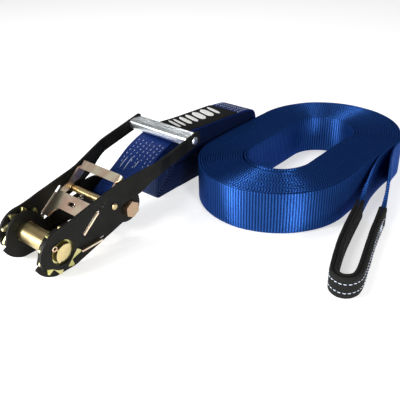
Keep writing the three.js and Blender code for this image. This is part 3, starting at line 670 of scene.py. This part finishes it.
def build_anchor_run():
    """Upper layer over the bundle, round the bolt and back underneath as the stitched tail."""
    band = Band()
    top = spline([*RUN_TOP, *OVER_TOP, *END_DOWN], 3.0)
    upper = offset_line(top, -WEBBING / 2)
    wrap = np.array(bolt_wrap(ANCHOR_SLEEVE_RADIUS + LAYER_GAP + WEBBING / 2))
    under = offset_line(spline(RUN_TOP, 3.0), -1.5 * WEBBING - LAYER_GAP)
    line = np.vstack([upper[::-1], wrap, under[3:]])
    line = spline(line[::2], 3.0)
    length = band.add(*lying(line, WEBBING - 0.1, WEBBING_WIDTH - 1.0, run_shift(line[:, 0])))
    piece = new_piece(
        "anchor_strap_layers", band.mesh("anchor_strap_layers"), "anchor_webbing", "anchor_strap",
        ["anchor_strap_run"])
    return piece, top, length


def hank_top(x):
    """Height of the bundle's wound part along it, under the strap that lies over it."""
    return np.interp(x, *zip(*HANK_TOP))


def build_hank():
    """The rest of the short strap, wound flat: round-cornered turns inside one another."""
    band = Band()
    middle_x, half_x = 261.5, 98.9
    full = 70.0
    half_z = full / 2 - WEBBING / 2
    pitch = half_z / (HANK_TURNS + 0.6)
    points = []
    per_turn = 96
    for i in range(HANK_TURNS * per_turn):
        turn = i / per_turn
        angle = 2 * math.pi * turn + math.pi * 0.5
        a = half_x - pitch * turn
        b = half_z - pitch * turn
        corner = min(6.0, 0.9 * b)
        cosine, sine = math.cos(angle), math.sin(angle)
        x = middle_x + math.copysign(a - corner, cosine) + corner * cosine
        z = full / 2 + math.copysign(b - corner, sine) + corner * sine
        points.append((x, z))
    line = resample(np.array(points), 2.6)
    line[:, 1] = line[:, 1] * hank_top(line[:, 0]) / full + 0.2
    steps = arc_length(line)
    wander = 0.5 * smooth_noise(steps, 6.0, 61.0) + 0.35 * smooth_noise(steps, 2.0, 17.0)
    middle_y = HANK["y"] + HANK["width"] / 2 + HANK["lean"] * line[:, 1] + wander
    length = band.add(*lying(line, WEBBING - 0.2, HANK["width"] - 1.6, middle_y))
    # The bundle wears the darker copy of the strap's webbing: painted shade.
    piece = new_piece(
        "anchor_strap_bundle", band.mesh("anchor_strap_bundle"), "bundle_webbing_painted_shade", "anchor_strap",
        ["anchor_strap_hank"])
    return piece, length


def on_run(top, x, across, lift=0.0):
    """Points on the run's upper face at the given x values, so far across from its middle."""
    z = np.interp(x, top[:, 0], top[:, 1]) + lift
    y = run_shift(x) + across
    return np.column_stack([x, np.broadcast_to(y, np.shape(x)), z])


def run_normals(top, x):
    """The run's upward normals at the given x values."""
    normal = normals(top)
    nx = np.interp(x, top[:, 0], normal[:, 0])
    nz = np.interp(x, top[:, 0], normal[:, 1])
    return np.column_stack([nx, np.zeros_like(nx), nz])


def build_run_stitches(top):
    """Rows of fine stitching between the side plates, three long threads, and rows past the label."""
    seams = []

    def row(across, start, end, length, gap, radius, offset=0.0, wave=0.7):
        x = np.linspace(start, end, 40)
        drift = across + wave * np.sin(x * 0.2 + across)
        seams.append({
            "path": on_run(top, x, drift), "normal": run_normals(top, x),
            "length": length, "gap": gap, "radius": radius, "start": offset})

    for k, across in enumerate((-21, -15, -8.5, -2, 4.5, 11, 17.5)):
        row(across, 126 + 6 * (k % 3), 170, 2.8, 3.2, 0.26, 1.1 * k)
    for across, start, end in ((13.5, 124, 146), (6.5, 122, 150), (-5, 130, 144)):
        row(across, start, end, (end - start) * 0.8, 30.0, 0.3, wave=0.4)
    for k, across in enumerate((-21, -14.5, -8, -1.5, 5, 11.5, 18, 21.5)):
        row(across, 320 + 2 * (k % 2), 345, 1.6, 2.4, 0.36, 0.8 * k)
    return stitch_piece("anchor_strap_stitches", seams, "anchor_strap")


def build_label(top):
    """The black label over the bundle with plain white marks: slanted bars with rounded ends."""
    band = Band()
    x = np.linspace(LABEL_FROM, LABEL_TO, 36)
    surface = np.column_stack([x, np.interp(x, top[:, 0], top[:, 1]) + 0.45])
    band.add(*lying(surface, LABEL_THICKNESS, WEBBING_WIDTH - 2, run_shift(x)))
    label = new_piece(
        "strap_label_cloth", band.mesh("strap_label_cloth"), "label_cloth", "anchor_strap",
        ["strap_label"])

    marks = Band()
    slope = 0.07
    ink_thickness = 0.12
    y = np.linspace(MARK_LOW, MARK_HIGH, 8)
    share = (y - MARK_LOW) / (MARK_HIGH - MARK_LOW)
    for start, width in LABEL_MARKS:
        xs = start + MARK_LEAN * share + width / 2
        z = np.interp(xs, top[:, 0], top[:, 1]) + 0.95
        middle = np.column_stack([xs, y + run_shift(xs), z])
        up = np.tile([slope, 0.0, 1.0], (len(y), 1))
        over = np.tile([1.0, 0.0, -slope], (len(y), 1))
        rounded = width * np.sqrt(np.clip(1 - (2 * share - 1) ** 4, 0.04, 1))
        marks.add(middle, up, over, ink_thickness, rounded)
    printed = new_piece(
        "label_marks", marks.mesh("label_marks"), "label_print", "anchor_strap")
    return label, printed


# ---------------------------------------------------------------- stage, light and camera
# The floor is in metres, the camera's place in the ratchet's own frame.
FLOOR_HALF = 6.0
FLOOR_DROP = 0.0003
CAMERA_AT = (-260.86, -443.13, 345.76)
CAMERA_DEG = {"heading": 41.178, "tilt": 29.613, "roll": -1.733}
CAMERA_LENS = 51.7


def build_stage():
    """A pale floor that gives off some light of its own, just below the object."""
    mesh = bpy.data.meshes.new("floor")
    corners = [(x * FLOOR_HALF, y * FLOOR_HALF, 0) for x, y in ((-1, -1), (1, -1), (1, 1), (-1, 1))]
    mesh.from_pydata(corners, [], [(0, 1, 2, 3)])
    floor = bpy.data.objects.new("floor", mesh)
    bpy.context.scene.collection.objects.link(floor)
    floor.location.z = -FLOOR_DROP
    n = Nodes("floor")
    n.set(Base_Color=(0.62, 0.62, 0.62, 1.0), Roughness=0.7, Specular_IOR_Level=0.1)
    n.set(Emission_Color=(1.0, 1.0, 1.0, 1.0), Emission_Strength=0.6)
    mesh.materials.append(n.material)


def add_light(name, position, target, size, power):
    data = bpy.data.lights.new(name, "AREA")
    data.shape = "RECTANGLE"
    data.size, data.size_y = size
    data.energy = power
    light = bpy.data.objects.new(name, data)
    bpy.context.scene.collection.objects.link(light)
    light.location = position
    light.rotation_euler = (Vector(target) - Vector(position)).to_track_quat("-Z", "Y").to_euler()


def build_light():
    world = bpy.data.worlds.new("studio")
    world.use_nodes = True
    world.node_tree.nodes["Background"].inputs["Color"].default_value = (1, 1, 1, 1)
    world.node_tree.nodes["Background"].inputs["Strength"].default_value = 0.2
    bpy.context.scene.world = world
    add_light("left", (-1.2, 0.66, 0.42), (-0.06, 0, 0.03), (0.3, 0.5), 30)
    add_light("front", (-0.63, -1.22, 0.36), (-0.02, -0.07, 0.03), (0.25, 0.4), 20)
    add_light("top", (0.1, 0.5, 1.5), (0, 0, 0.03), (0.8, 0.5), 10)
    bpy.context.scene.view_settings.view_transform = "Standard"


def build_camera():
    heading, tilt, roll = (math.radians(CAMERA_DEG[name]) for name in ("heading", "tilt", "roll"))
    level = math.cos(tilt)
    ahead = Vector((level * math.cos(heading), level * math.sin(heading), -math.sin(tilt)))
    right = ahead.cross(Vector((0, 0, 1))).normalized()
    up = right.cross(ahead)
    right_rolled = right * math.cos(roll) + up * math.sin(roll)
    up_rolled = -right * math.sin(roll) + up * math.cos(roll)
    data = bpy.data.cameras.new("camera")
    data.sensor_width = 36.0
    data.lens = CAMERA_LENS
    camera = bpy.data.objects.new("camera", data)
    bpy.context.scene.collection.objects.link(camera)
    axes = Matrix((right_rolled, up_rolled, -ahead)).transposed().to_4x4()
    camera.matrix_world = Matrix.Translation(Vector(place(CAMERA_AT))) @ axes
    bpy.context.scene.camera = camera


# ---------------------------------------------------------------- build
build_camera()
build_stage()
build_light()

long_strap, long_length = build_long_strap()
sleeve, eye_line, eye_thick, eye_height = build_eye_sleeve()
eye_stitches = build_eye_stitches(eye_line, eye_thick, eye_height)
run, run_top, run_length = build_anchor_run()
hank, hank_length = build_hank()
run_stitches = build_run_stitches(run_top)
label, label_marks = build_label(run_top)
build_metal()
